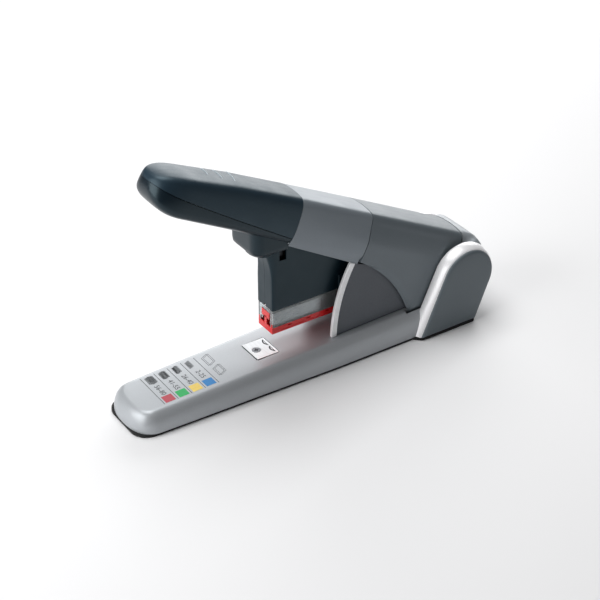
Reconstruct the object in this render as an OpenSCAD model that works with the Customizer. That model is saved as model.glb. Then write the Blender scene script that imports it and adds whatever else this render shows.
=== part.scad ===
// Long-arm cartridge stapler: base, housing, lever handle, guided head, driver and staple cartridge.
// X runs from the nose of the base (-X) to the back of the housing (+X), Z is up, Y is across.
// Shapes are drawn from the nose of the base, and place() moves them to the middle of the footprint.

/* [Overall] */
// Length from the nose of the base to the back of the housing
overall_len = 278; // [277:1:280]
// Slope of the handle at rest, in degrees
handle_tilt = 27; // [26.5:0.5:27.5]

/* [Base] */
// Height of the rubber foot
foot_h = 1.8; // [1.4:0.1:2.4]
// Height of the base's top face at the nose
base_top_nose = 15.2; // [14.8:0.1:15.4]
// Rise of the base's top face for each millimetre along it
base_rise = 0.0245; // [0.02:0.0005:0.025]
// Half of the base's width at its widest
base_half = 27.8; // [27:0.1:28.5]
// Wall of the base cover
base_wall = 2.2; // [1.8:0.1:2.6]
// Thickness of the steel base plate
plate_t = 2; // [1.6:0.1:2.4]
// Centre of the anvil's clinch grooves along the base
anvil_x = 110.2; // [110:0.1:110.6]

/* [Housing] */
// Centre of the round housing, from the nose
hub_x = 254; // [253.5:0.5:254]
// Height of the centre of the round housing
hub_z = 37.5; // [37:0.5:38]
// Radius of the housing at its inner edge
hub_r = 24; // [23.5:0.5:24.5]
// Half of the gap between the two cheeks
cheek_in = 22.3; // [22.1:0.1:22.6]
// Half of the width over the two cheeks
cheek_out = 33.3; // [33:0.1:34]
// Height of the pivot axle
pivot_z = 41; // [40.5:0.5:41.5]
// Place of the pivot axle, from the nose
pivot_x = 250; // [249.5:0.5:250.5]
// Radius of the pivot axle
axle_r = 4; // [3.5:0.1:4.2]

/* [Handle] */
// Half of the handle's width at the grip
grip_half = 18.6; // [18.2:0.1:19]
// Half of the handle's width at the housing
rear_half = 21.6; // [21.2:0.1:21.7]
// Wall of the handle's shells
shell_wall = 2; // [1.8:0.1:2.1]
// Handle seam between the grip and the middle shell
seam_grip = 57; // [55:0.5:58]
// Handle seam between the middle and the rear shell
seam_mid = 117.5; // [116:0.5:119]
// End of the rear shell
seam_tail = 203; // [202:0.5:203.5]

/* [Head and cartridge] */
// Front face of the head, from the nose
head_x = 109; // [108.8:0.1:109.2]
// Half of the head's width
head_half = 8.5; // [8.4:0.1:8.8]
// Height of the cartridge's underside above the table
cart_z = 32; // [32:0.1:33]
// Height of the cartridge
cart_h = 18; // [18:0.1:18.2]
// Length of the cartridge
cart_len = 84; // [80:1:84]
// Radius of the driver's cross pin
pin_r = 2; // [1.8:0.1:2.1]

/* [Hidden] */

$fn = 48;
hull_fn = 24;                       // facets on the round children of a hull
eps = 0.01;

silver = [0.75, 0.76, 0.77];
mid_grey = [0.46, 0.49, 0.52];
cheek_grey = [0.33, 0.36, 0.39];
dark_blue = [0.12, 0.17, 0.22];
steel = [0.80, 0.80, 0.80];

// base
plate_top = foot_h + plate_t;
base_tail = 264;
foot_wide_x0 = 213;                 // where the foot widens under the housing
tab_half = 31;                      // half of the base plate's width under the cheeks
screw_head_r = 3.4;                 // room for a screw head in the foot
slot_y = 19.2;                      // inner face of the slots that the rear skirt dips into
slot_w = 3.2;
slot_x0 = 209;
slot_x1 = 228;
slot_floor = 12.5;
function base_top(x) = base_top_nose + base_rise * x;

// anvil
anvil_front = 96.3;
anvil_len = 16.8;
anvil_w = 19.8;
anvil_t = 2;
anvil_z = base_top(anvil_front + anvil_len / 2) + 0.2 - anvil_t;
anvil_gap = 0.6;
anvil_screw_x = 101.5;
leg_half = 5.9;                     // half of the staple's width, to the middle of its legs

// guards beside the head
guard_in = 15.5;
guard_out = 17.2;
guard_x0 = 130;
guard_x1 = 226;
guard_gap = 0.3;
rib_w = 4.2;
rib_c = [265, 17];                  // centre of the rib's arc
rib_r = 115;

// chassis
ear_in = 15;
ear_t = 2.5;
ear_x0 = 232;
ear_x1 = 264;
axle_half = 19;
clip_y = 17.8;
clip_t = 0.7;
stop_x = 251;
stop_z = 25.7;
stop_r = 2;

// vertical guides of the head
post_x = 178;
post_y = 12;
post_r = 1.8;
post_top = 58.5;
spring_wire = 0.7;

// skirt of the rear shell
skirt_c = [114, -14];
skirt_r = 103;
skirt_z = 21.9;

// handle, in its own tilted frame: u along it, v across it
v_top = 173;
v_belly = 142.4;
pivot_u = pivot_x * cos(handle_tilt) - pivot_z * sin(handle_tilt);
pivot_v = pivot_x * sin(handle_tilt) + pivot_z * cos(handle_tilt);
lever_half = 14;
lever_t = 1.6;
lever_top = 166.8;
lever_low = 154;
lever_u0 = -26;
lever_u1 = 192;
fork_u0 = 44;
fork_u1 = 76;
fork_low = 143.6;
pin_x = 117;
pin_z = 108;
pin_u = pin_x * cos(handle_tilt) - pin_z * sin(handle_tilt);
pin_v = pin_x * sin(handle_tilt) + pin_z * cos(handle_tilt);
fork_r = 2.9;
fork_run = 11.4;
screw_us = [-12, 25, 75, 100, 135, 175];
screw_y = 8;
lower_screw_us = [-20, 8];          // screws that come up through the grip's lower shell
parting_nose = 162.4;               // height of the grip's parting line at the nose
parting_seam = 148.6;               // and at the seam with the middle shell
collar_half = 16;

// head
head_low = cart_z + cart_h + 0.5;
head_tail = 167;
head_wall = 1.6;
rail_x0 = 114;
rail_x1 = 186;
rail_z1 = 57;
rail_half = 6.7;
blade_x = head_x + 1.0;
blade_t = 0.6;
blade_half = 6.2;
blade_tip = cart_z + cart_h + 0.3;
block_z0 = 76;
block_z1 = 113;
boss_xs = [134, 158];               // screws that hold the head's two shells together
boss_z = 70;
rail_screw_xs = [146, 178];
detent_x = 161;                     // spring plunger that presses on the cartridge
detent_y = 4.2;
stroke = 17.6;                      // travel of the driver inside the head

// springs
handle_spring_x = 215;
handle_spring_z = base_top(handle_spring_x) + 0.35;
handle_spring_len = 51;

// cartridge
cart_x1 = head_x + cart_len;
cart_top = cart_z + cart_h;
cart_half = 8.3;
stick_x0 = blade_x + blade_t + 0.3;
stick_x1 = 165;
pusher_x1 = 171.5;

module place() translate([-overall_len / 2, 0, 0]) children();
module tilt() place() rotate([0, handle_tilt, 0]) children();
module both_sides() { children(); mirror([0, 1, 0]) children(); }

// a plate standing in the XZ plane, from y0 to y1
module upright(y0, y1) translate([0, y1, 0]) rotate([90, 0, 0]) linear_extrude(y1 - y0) children();
module box(x0, x1, y0, y1, z0, z1) translate([x0, y0, z0]) cube([x1 - x0, y1 - y0, z1 - z0]);
module bore_y(x, z, r, y0, y1) translate([x, y1, z]) rotate([90, 0, 0]) cylinder(r = r, h = y1 - y0);
module post(x, y, r, z0, z1) translate([x, y, z0]) cylinder(r = r, h = z1 - z0);

// a compression spring standing on z0: turns are flat rings joined by a thin inner line
module spring(r, wire, length, turns) {
    pitch = (length - wire) / turns;
    for (i = [0 : turns])
        translate([0, 0, wire / 2 + i * pitch])
            rotate_extrude() translate([r, 0]) circle(wire / 2, $fn = 16);
    for (i = [0 : turns - 1])
        translate([(i % 2 == 0 ? r : -r), 0, wire / 2 + i * pitch])
            cylinder(r = wire * 0.35, h = pitch, $fn = 16);
}

// ---- base ----

module base_outline() {
    hull() {
        for (s = [-1, 1]) translate([12, s * 11.4]) circle(12, $fn = 64);
        for (s = [-1, 1]) translate([150, s * (base_half - 4.6)]) circle(4, $fn = 32);
        for (s = [-1, 1]) translate([base_tail - 4, s * (base_half - 4)]) circle(4, $fn = 32);
    }
}

module base_solid(inset, drop) {
    tip = 7 - inset;
    hull() {
        translate([0, 0, foot_h]) linear_extrude(3) offset(delta = -inset) base_outline();
        for (s = [-1, 1], x = [10.5, base_tail - 12])
            translate([x, s * (x < 99 ? 10 : 13), base_top(x) - 4 - drop])
                cylinder(r1 = tip, r2 = tip - 1.2, h = 4, $fn = hull_fn);
        for (s = [-1, 1], x = [12, base_tail - 12])
            translate([x, s * (x < 99 ? 12.2 : 15.8), 9 - drop / 2])
                cylinder(r = 9 - inset, h = 1, $fn = hull_fn);
    }
}

module foot_outline() {
    base_outline();
    hull() {
        for (s = [-1, 1]) translate([foot_wide_x0, s * (base_half - 4)]) circle(4, $fn = 32);
        for (s = [-1, 1]) translate([foot_wide_x0 + 5, s * (cheek_out - 5)]) circle(4, $fn = 32);
        for (s = [-1, 1]) translate([base_tail - 5, s * (cheek_out - 5)]) circle(4.6, $fn = 32);
    }
}

module rubber_foot() place() color([0.06, 0.06, 0.07]) difference() {
    linear_extrude(foot_h) foot_outline();
    for (p = concat(base_screw_spots(), cheek_screw_spots())) post(p[0], p[1], screw_head_r, -1, foot_h + 1);
}

function base_screw_spots() = [for (x = [22, 84, 150, 206], s = [-1, 1]) [x, s * (x < 50 ? 15 : 17)]];
function cheek_screw_spots() = [for (x = [240, 257], s = [-1, 1]) [x, s * 28.2]];

module base_plate() place() color(steel) difference() {
    translate([0, 0, foot_h]) linear_extrude(plate_t) {
        offset(delta = -3.2) base_outline();
        translate([ear_x0, -tab_half]) square([base_tail - 2 - ear_x0, 2 * tab_half]);
    }
    for (p = concat(base_screw_spots(), cheek_screw_spots())) post(p[0], p[1], 1.6, 0, plate_top + 1);
    for (x = [238, 258], s = [-1, 1]) post(x, s * 9, 2.05, 0, plate_top + 1);
    for (s = [-1, 1]) post(post_x, s * post_y, post_r, 0, plate_top + 1);
}

module base_cover() place() color(silver) difference() {
    union() {
        difference() {
            base_solid(0, 0);
            difference() {
                base_solid(base_wall, base_wall);
                box(anvil_front - 3, anvil_front + anvil_len + 3, -13, 13, plate_top, 30);
            }
            translate([0, 0, foot_h - 1]) linear_extrude(plate_t + 1.05)
                offset(delta = -3.1) base_outline();
        }
        for (p = base_screw_spots()) post(p[0], p[1], 3.2, plate_top + 0.05, 14);
        for (s = [-1, 1]) post(post_x, s * post_y, 4, plate_top + 0.05, 18.4);
        both_sides() box(slot_x0 - 2, slot_x1 + 2, slot_y - 2, slot_y + slot_w + 1, slot_floor - 2, 17);
        post(handle_spring_x, 0, 5.6, 17, handle_spring_z + 3);
    }
    for (p = base_screw_spots()) post(p[0], p[1], 1.33, 0, 12);
    for (s = [-1, 1]) post(post_x, s * post_y, post_r + 0.03, 0, 40);
    box(anvil_front - anvil_gap, anvil_front + anvil_len + anvil_gap,
        -anvil_w / 2 - anvil_gap, anvil_w / 2 + anvil_gap, anvil_z, 40);
    post(anvil_screw_x, 0, 1.6, anvil_z - 8, 40);
    both_sides() box(slot_x0, slot_x1, slot_y, slot_y + slot_w, slot_floor, 40);
    box(ear_x0 - 3, base_tail + 5, -cheek_out, cheek_out, -1, 40);
}

module foot_screws(spots) place() color(steel) for (p = spots) {
    post(p[0], p[1], 2.8, 0.3, foot_h - 0.05);
    post(p[0], p[1], 1.3, foot_h - 0.1, 11.5);
}

module base_screws() foot_screws(base_screw_spots());
module cheek_screws() foot_screws(cheek_screw_spots());

module anvil_plate() place() color(steel) difference() {
    box(anvil_front, anvil_front + anvil_len, -anvil_w / 2, anvil_w / 2, anvil_z, anvil_z + anvil_t);
    post(anvil_screw_x, 0, 1.7, 0, 30);
    translate([anvil_screw_x, 0, anvil_z + anvil_t - 1.2]) cylinder(r1 = 1.7, r2 = 3.2, h = 1.21);
    for (s = [-1, 1])
        translate([anvil_x, s * (leg_half - 1.6), anvil_z + anvil_t + 3.4])
            rotate_extrude() translate([3.4, 0]) circle(0.9, $fn = 16);
}

module anvil_screw() place() color(steel) difference() {
    union() {
        translate([anvil_screw_x, 0, anvil_z + anvil_t - 1.1]) cylinder(r1 = 1.55, r2 = 3, h = 1.1);
        post(anvil_screw_x, 0, 1.5, anvil_z - 7, anvil_z + anvil_t - 1);
    }
    for (a = [0, 90])
        translate([anvil_screw_x, 0, anvil_z + anvil_t]) rotate(a) cube([3.4, 0.7, 1.4], center = true);
}

// ---- guards ----

module rib_arc(grow) difference() {
    translate(rib_c) circle(rib_r + grow, $fn = 200);
    translate([rib_c[0], -200]) square([400, 600]);
}

module guard_field() polygon([[guard_x0, base_top(guard_x0) + guard_gap],
    [guard_x1, base_top(guard_x1) + guard_gap], [guard_x1, 44], [215, 50], [163, 73.5], [guard_x0, 80]]);

module guard() upright(guard_in, guard_out) intersection() {
    rib_arc(-rib_w);
    guard_field();
}

module guard_trim() upright(guard_in - 0.2, guard_out + 0.5) intersection() {
    difference() { rib_arc(0); rib_arc(-rib_w + 0.02); }
    guard_field();
}

module guard_right() place() color(mid_grey) mirror([0, 1, 0]) guard();
module guard_left() place() color(mid_grey) guard();
module guard_trim_right() place() color(silver) mirror([0, 1, 0]) guard_trim();
module guard_trim_left() place() color(silver) guard_trim();

// ---- chassis, axle and guides ----

module chassis_ear() difference() {
    union() {
        polygon([[ear_x0, plate_top], [ear_x1 - 2, plate_top], [pivot_x + 10, pivot_z],
            [pivot_x - 10, pivot_z]]);
        translate([pivot_x, pivot_z]) circle(10);
    }
    translate([pivot_x, pivot_z]) circle(axle_r + 0.03);
    translate([stop_x, stop_z]) circle(stop_r + 0.03);
}

module chassis_bracket() place() color([0.55, 0.56, 0.58]) difference() {
    union() {
        box(ear_x0, ear_x1 - 2, -ear_in - ear_t, ear_in + ear_t, plate_top + 0.1, plate_top + 2.6);
        both_sides() upright(ear_in, ear_in + ear_t) difference() {
            chassis_ear();
            translate([0, -10]) square([400, plate_top + 10.1]);
        }
    }
    for (x = [238, 258], s = [-1, 1]) post(x, s * 9, 2.05, 0, 20);
}

module chassis_screws() place() color(steel)
    for (x = [238, 258], s = [-1, 1]) {
        post(x, s * 9, 2, foot_h + 0.05, plate_top + 4.5);
        post(x, s * 9, 3.5, plate_top + 2.65, plate_top + 5);
    }

module pivot_axle() place() color(steel) difference() {
    bore_y(pivot_x, pivot_z, axle_r, -axle_half, axle_half);
    both_sides() difference() {
        bore_y(pivot_x, pivot_z, axle_r + 1, clip_y, clip_y + clip_t);
        bore_y(pivot_x, pivot_z, axle_r - 0.6, clip_y - 1, clip_y + clip_t + 1);
    }
}

module axle_clips() place() color([0.25, 0.25, 0.27]) both_sides() difference() {
    bore_y(pivot_x, pivot_z, axle_r + 2.4, clip_y + 0.05, clip_y + clip_t - 0.05);
    bore_y(pivot_x, pivot_z, axle_r - 0.55, clip_y - 1, clip_y + clip_t + 1);
    box(pivot_x - 2.6, pivot_x + 2.6, 0, axle_half, pivot_z - 12, pivot_z);
}

module stop_pin() place() color(steel)
    bore_y(stop_x, stop_z, stop_r, -ear_in - ear_t - 0.5, ear_in + ear_t + 0.5);

module guide_posts() place() color(steel)
    for (s = [-1, 1]) post(post_x, s * post_y, post_r, foot_h + 0.1, post_top);

module head_springs() place() color(steel)
    for (s = [-1, 1]) translate([post_x, s * post_y, base_top(post_x) + 0.3])
        spring(post_r + 0.75, spring_wire, 51.8 - base_top(post_x) - 0.4, 10);

module handle_spring() place() color(steel)
    translate([handle_spring_x, 0, handle_spring_z]) spring(6.8, 1.6, handle_spring_len, 8);

// ---- housing ----

// the side view of the housing: a disc that runs down to two points on the table
function tangent(p, c, r, side) = let (d = c - p, a = atan2(d[1], d[0]) + side * asin(r / norm(d)),
    l = sqrt(norm(d) * norm(d) - r * r)) p + l * [cos(a), sin(a)];

module housing_side(r, front, back) {
    c = [hub_x, hub_z];
    translate(c) circle(r, $fn = 160);
    polygon([[front, foot_h], tangent([front, foot_h], c, r - 0.05, 1), c,
        tangent([back, foot_h], c, r - 0.05, -1), [back, foot_h]]);
}

module cheek() {
    difference() {
        union() {
            upright(cheek_in + 3, cheek_out) housing_side(hub_r - 2.9, 216, 263);
            upright(cheek_in, cheek_in + 4) intersection() {
                housing_side(hub_r, 211.8, 265.5);
                band_end(0);
            }
        }
        upright(cheek_in - 1, cheek_out - 2.2) difference() {
            housing_side(hub_r - 4.9, 219, 261);
            for (p = cheek_screw_spots()) translate([p[0] - 3.4, 0]) square([6.8, 15]);
        }
        for (p = cheek_screw_spots()) if (p[1] > 0) post(p[0], p[1], 1.33, 0, 12);
        box(ear_x0 - 2, base_tail + 0.3, cheek_in - 1, tab_half + 0.3, 0, plate_top + 0.1);
        upright(0, 60) translate([180, -10]) square([100, foot_h + 10.2]);
        upright(cheek_in - 1, base_half + 0.3) translate([180, 0]) square([base_tail + 0.3 - 180, 5]);
        base_clear();
    }
}

// room for the base cover where the cheek stands over it
module base_clear() {
    high = base_top(226) + 0.4;
    translate([200, 0, 0]) rotate([90, 0, 90]) linear_extrude(ear_x0 - 202.6)
        polygon([[10, foot_h - 1], [base_half + 0.4, foot_h - 1], [base_half + 0.4, 5.4], [25.6, 10.6],
            [22.6, high - 2], [19, high], [10, high]]);
}

// the region behind and below which the housing's rim belongs to the cheek
module band_end(gap) polygon([[263.2 - gap, foot_h - 5], [hub_x + 4, hub_z], [300, hub_z + 9 + gap],
    [300, foot_h - 5]]);

module band() difference() {
    upright(cheek_in, cheek_in + 5.7) difference() {
        housing_side(hub_r, 211.8, 265.5);
        housing_side(hub_r - 2.8, 215.9, 263.1);
        band_end(0.1);
    }
    base_clear();
}

module cheek_left() place() color(cheek_grey) cheek();
module cheek_right() place() color(cheek_grey) mirror([0, 1, 0]) cheek();
module band_left() place() color([0.88, 0.88, 0.89]) band();
module band_right() place() color([0.88, 0.88, 0.89]) mirror([0, 1, 0]) band();

module tail_side() polygon([[245, 0], [252, 66], [261.5, 65.4], [268.5, 58.4], [274.6, 50], [277.4, 43],
    [278, 37], [277, 29], [266, 0]]);

module tail_cover() place() color(mid_grey) difference() {
    upright(-cheek_in + 0.2, cheek_in - 0.2) tail_side();
    upright(-cheek_in + 2, cheek_in - 2) offset(delta = -2.2) tail_side();
    rotate([0, handle_tilt, 0]) box(-50, seam_tail + 0.9, -30, 30, 60, 300);
    box(200, 262.4, -30, 30, -1, 40);
    box(200, 257.5, -cheek_in + 2, cheek_in - 2, -1, 80);
    box(200, 300, -30, 30, -1, plate_top + 0.2);
}

// ---- handle ----

function half_at(u) = u < seam_grip ? grip_half
    : min(rear_half, grip_half + (rear_half - grip_half) * (u - seam_grip) / (seam_mid - seam_grip));

// a whole cross-section from its half on the +Y side, listed from the top down
function both_halves(half) = concat(half,
    [for (i = [len(half) - 1 : -1 : 1]) if (half[i][0] > 0) [-half[i][0], half[i][1]]]);

// a thin sheet in the shape of that cross-section, standing at u
module section_sheet(u, half) translate([u, 0, 0]) rotate([90, 0, 90]) linear_extrude(eps)
    polygon(both_halves(half));

// one cross-section of the handle: flat crowned top, soft shoulders, upright sides
module slice(u, half, top, low, inset) {
    w = half - inset;
    t = top - inset;
    section_sheet(u, [[0, t], [w * 0.45, t - 0.5], [w - 4.6, t - 2.2], [w - 2.2, t - 4.4], [w - 0.8, t - 9],
        [w, t - 17], [w - 0.2, low + 5], [w - 2.8, low]]);
}

module grip_solid(inset, u1) {
    hull() {
        for (k = [[-52.6, 7, 166, 157], [-50.6, 11, 168.4, 154], [-46, 15, 171, 150.4],
            [-38, 17.8, 172.6, 146.4], [-24, grip_half, v_top + 0.4, 143.6], [u1, grip_half, v_top, v_belly]])
            grip_end(k[0] + (k[0] < 0 ? inset : 0), k[1], k[2], k[3], inset);
    }
}

module grip_end(u, width, top, low, inset) {
    w = max(width - inset, 2);
    t = top - inset;
    l = low + inset;
    m = (t + l) / 2;
    section_sheet(u, [[0, t], [w * 0.55, t - 0.6], [w * 0.76, t - 2.2], [w * 0.93, t - 5.6], [w, m + 1],
        [w * 0.97, m - 4], [w * 0.86, l + 4.4], [w * 0.62, l + 1.4], [w * 0.3, l + 0.2], [0, l]]);
}

// everything above the line where the grip's two shells meet
module above_parting(gap) upright(-40, 40) polygon([[-80, parting_nose + 3 + gap],
    [-57, parting_nose + gap], [seam_grip + 1, parting_seam + gap], [seam_grip + 1, 200], [-80, 200]]);

module shell_bosses(us) for (u = us, s = [-1, 1])
    translate([u, s * screw_y, lever_top + 0.05]) cylinder(r = 3.4, h = v_top - lever_top - 1.6);

module shell_pilots(us) for (u = us, s = [-1, 1])
    translate([u, s * screw_y, lever_top - 1]) cylinder(r = 1.53, h = 4.6);

module grip_top() tilt() color(dark_blue) difference() {
    intersection() {
        union() {
            difference() {
                grip_solid(0, seam_grip);
                grip_solid(shell_wall, seam_grip + 1);
            }
            shell_bosses([screw_us[0], screw_us[1]]);
        }
        above_parting(0.1);
    }
    shell_pilots([screw_us[0], screw_us[1]]);
    box(fork_u0 - 3, seam_grip + 1, -14.9, 14.9, 140, 160);
}

// the collar hangs under the lower shell around the front of the head
module collar(inset) hull() {
    for (s = [-1, 1]) {
        translate([42.5, s * (collar_half - 5.5), 131]) cylinder(r = 5.5 - inset, h = 13, $fn = hull_fn);
        translate([62, s * (collar_half - 5.5), 142.6]) cylinder(r = 5.5 - inset, h = 2, $fn = hull_fn);
        translate([49, s * 4.4, 126.8]) cylinder(r = 4.6 - inset, h = 2, $fn = hull_fn);
    }
}

module grip_lower() tilt() color([0.07, 0.11, 0.15]) difference() {
    union() {
        difference() {
            grip_solid(0, seam_grip);
            grip_solid(shell_wall, seam_grip + 1);
            above_parting(0);
        }
        difference() {
            collar(0);
            box(-80, seam_grip, -30, 30, v_belly + 2, 200);
        }
        for (u = lower_screw_us)
            translate([u, 0, v_belly + 2.4]) cylinder(r = 3.6, h = lever_top - lever_t - 2.45 - v_belly);
    }
    collar(shell_wall);
    box(fork_u0 - 3, 120, -14.8, 14.8, 135, 160);
    box(48, 120, -head_half - 0.9, head_half + 0.9, 100, 160);
    box(seam_grip + 0.1, 140, -30, 30, 100, 200);
    for (u = lower_screw_us) {
        translate([u, 0, 130]) cylinder(r = 3, h = 18);
        translate([u, 0, 140]) cylinder(r = 1.53, h = 40);
    }
}

module mid_shell() tilt() color(mid_grey) difference() {
    union() {
        difference() {
            hull() {
                slice(seam_grip + 0.25, half_at(seam_grip), v_top, 143.4, 0);
                slice(seam_mid - 0.25, half_at(seam_mid), v_top, 139.2, 0);
            }
            hull() {
                slice(seam_grip - 1, half_at(seam_grip), v_top, 140.4, shell_wall);
                slice(seam_mid + 1, half_at(seam_mid), v_top, 135.2, shell_wall);
            }
            box(seam_grip - 5, seam_mid + 5, -17.9, 17.9, 120, 150);
        }
        shell_bosses([screw_us[2], screw_us[3]]);
    }
    shell_pilots([screw_us[2], screw_us[3]]);
}

module rear_shell() color([0.40, 0.43, 0.46]) difference() {
    union() {
        difference() {
            tilt() hull() {
                slice(seam_mid + 0.25, rear_half, v_top, 90, 0);
                slice(seam_tail, rear_half, v_top + 1, 90, 0);
            }
            tilt() hull() {
                slice(seam_mid - 1, rear_half, v_top, 80, shell_wall);
                slice(seam_tail + 1, rear_half, v_top + 1, 80, shell_wall);
            }
            place() upright(-40, 40) {
                translate(skirt_c) circle(skirt_r, $fn = 200);
                polygon([[0, -60], [300, -60], [300, 40], [240, 30], [218, skirt_z], [0, skirt_z]]);
            }
        }
        tilt() shell_bosses([screw_us[4], screw_us[5]]);
    }
    tilt() shell_pilots([screw_us[4], screw_us[5]]);
}

module lever_side() difference() {
    union() {
        polygon([[lever_u0 + 4, lever_low], [fork_u0, lever_low], [fork_u0, fork_low], [fork_u1, fork_low],
            [fork_u1 + 10, lever_low], [pivot_u - 8, lever_low - 8], [pivot_u, pivot_v - 8.9],
            [pivot_u, pivot_v + 8.9], [lever_u1 - 6, lever_top], [lever_u0, lever_top],
            [lever_u0, lever_low + 5]]);
        translate([pivot_u, pivot_v]) circle(9);
        translate([pivot_u, pivot_v - 11]) square([12, 11]);
    }
    translate([pivot_u, pivot_v]) circle(5.5);
    translate([pin_u, pin_v]) circle(fork_r);
    translate([pin_u, pin_v - fork_r]) square([fork_run, 2 * fork_r]);
    translate([pin_u + fork_run, pin_v]) circle(fork_r);
}

module lever_channel() tilt() color([0.62, 0.63, 0.65]) difference() {
    union() {
        both_sides() upright(lever_half - lever_t, lever_half) lever_side();
        box(lever_u0, lever_u1 - 6, -lever_half + 0.5, lever_half - 0.5, lever_top - lever_t, lever_top);
    }
    for (u = screw_us, s = [-1, 1]) translate([u, s * screw_y, lever_top - 4]) cylinder(r = 1.53, h = 8);
    for (u = lower_screw_us) translate([u, 0, lever_top - 4]) cylinder(r = 1.53, h = 8);
}

module pivot_bushes() place() color([0.9, 0.88, 0.8]) both_sides() difference() {
    union() {
        bore_y(pivot_x, pivot_z, 5.5, 11.4, 14.05);
        bore_y(pivot_x, pivot_z, 7.2, 14.05, 14.8);
    }
    bore_y(pivot_x, pivot_z, axle_r + 0.05, 11, 15);
}

module handle_screws() tilt() color(steel) {
    for (u = screw_us, s = [-1, 1]) translate([u, s * screw_y, lever_top - lever_t]) {
        cylinder(r = 1.5, h = 4.8);
        translate([0, 0, -1.9]) cylinder(r = 2.7, h = 1.88);
    }
    for (u = lower_screw_us) translate([u, 0, 0]) {
        translate([0, 0, 146.2]) cylinder(r = 2.7, h = 1.75);
        translate([0, 0, 146.2]) cylinder(r = 1.5, h = lever_top - 146.2);
    }
}

// ---- head ----

module head_side(inset) polygon([[head_x + inset, head_low], [head_x + inset, 100],
    [head_x + 3 + inset, 104.5 - inset], [118, 104.5 - inset], [126, 98 - inset], [head_tail, 73.5 - inset],
    [head_tail, head_low]]);

module head_shell() difference() {
    union() {
        difference() {
            upright(0.05, head_half) head_side(0);
            upright(-1, head_half - head_wall) head_side(head_wall);
        }
        for (x = boss_xs) bore_y(x, boss_z, 3, 5, head_half - 1);
    }
    box(pin_x - pin_r - 0.5, pin_x + pin_r + 0.5, 0, 20, pin_z - stroke - pin_r - 0.6, 120);
    box(head_x - 1, 128, 0, head_half - head_wall, 96, 120);
    box(blade_x - 0.15, blade_x + blade_t + 0.2, 0, blade_half + 0.2, head_low - 1, 120);
}

module head_shell_left() place() color(dark_blue) difference() {
    head_shell();
    for (x = boss_xs) {
        bore_y(x, boss_z, 1.33, 0, 20);
        bore_y(x, boss_z, 2.6, head_half - 1.5, 20);
    }
}

module head_shell_right() place() color(dark_blue) mirror([0, 1, 0]) difference() {
    head_shell();
    for (x = boss_xs) bore_y(x, boss_z, 1.33, 0, head_half - 1.2);
}

module head_carriage() place() color([0.10, 0.10, 0.11]) difference() {
    union() {
        box(124.5, 162, -4.9, 4.9, rail_z1 + 0.05, 74);
        box(161, 169, -4.9, 4.9, rail_z1 + 0.05, 70);
        box(168, 187, -8.2, 8.2, rail_z1 + 0.05, 70);
        box(171, 185, -post_y, post_y, rail_z1 + 0.05, 62);
        for (s = [-1, 1]) post(post_x, s * post_y, 3.1, 52, 62);
        box(171, 185, -post_y, -8.5, 52, 62);
        box(171, 185, 8.5, post_y, 52, 62);
    }
    for (s = [-1, 1]) post(post_x, s * post_y, post_r + 0.06, 50, 64);
    for (x = boss_xs) bore_y(x, boss_z, 1.33, -10, 10);
    for (x = rail_screw_xs) post(x, 0, 1.53, 50, 66);
}

// a channel with a T-shaped foot that runs in the slot along the cartridge's top
module magazine_rail() place() color(steel) difference() {
    union() {
        box(rail_x0, rail_x1, -rail_half, rail_half, head_low + 0.1, rail_z1);
        box(rail_x0 + 2, rail_x1, -1.5, 1.5, cart_top - 1.5, head_low + 0.2);
        box(rail_x0 + 2, rail_x1, -3, 3, cart_top - 2.5, cart_top - 1.4);
    }
    box(rail_x0 - 1, rail_x1 - 1.2, -rail_half + 1, rail_half - 1, head_low + 1.1, rail_z1 - 1);
    for (x = rail_screw_xs) post(x, 0, 1.6, rail_z1 - 2, 60);
    post(detent_x, detent_y, 1.3, head_low - 1, head_low + 2);
}

module rail_detent() place() color(steel) {
    box(detent_x - 11, detent_x + 11, detent_y - 1.5, detent_y + 1.5, rail_z1 - 1.5, rail_z1 - 1.05);
    post(detent_x, detent_y, 1.15, cart_top + 0.15, rail_z1 - 1.2);
}

module head_screws() place() color(steel) {
    for (x = boss_xs) {
        bore_y(x, boss_z, 1.3, -head_half + 1.4, head_half - 1.6);
        bore_y(x, boss_z, 2.5, head_half - 1.45, head_half - 0.2);
    }
    for (x = rail_screw_xs) post(x, 0, 1.5, rail_z1 - 0.9, 64);
}

// ---- driver ----

module driver_blade() place() color(steel) difference() {
    box(blade_x, blade_x + blade_t, -blade_half, blade_half, blade_tip, 104);
    box(blade_x - 1, blade_x + 2, -blade_half - 1, -5.2, 96, 200);
    box(blade_x - 1, blade_x + 2, 5.2, blade_half + 1, 96, 200);
}

module driver_block() place() color([0.35, 0.36, 0.38]) difference() {
    box(blade_x + blade_t + 0.02, 124, -6.2, 6.2, block_z0, block_z1);
    bore_y(pin_x, pin_z, pin_r + 0.02, -10, 10);
}

module driver_pin() place() color(steel) bore_y(pin_x, pin_z, pin_r, -14.6, 14.6);

// ---- cartridge ----

module cartridge_tray() place() color([0.86, 0.16, 0.17]) difference() {
    union() {
        difference() {
            box(head_x, cart_x1, -cart_half, cart_half, cart_z, cart_z + 4.6);
            box(head_x + 0.9, cart_x1 - 1.2, -7, 7, cart_z + 1.2, cart_z + 10);
        }
        difference() {
            box(head_x, head_x + 8, -cart_half, cart_half, cart_z, cart_z + 7);
            box(head_x + 0.9, head_x + 20, -7, 7, cart_z + 1.2, cart_z + 10);
        }
        difference() {
            box(stick_x0 + 0.4, cart_x1 - 1, -5, 5, cart_z + 1, cart_z + 13.6);
            box(stick_x0 - 1, cart_x1 - 1.2, -3.9, 3.9, cart_z + 2.2, cart_z + 20);
        }
        box(cart_x1 - 2.2, cart_x1, -cart_half, cart_half, cart_z, cart_z + 15.2);
    }
    box(head_x + 0.85, stick_x0 + 0.1, -6.6, 6.6, cart_z - 1, cart_z + 4);
}

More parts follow.
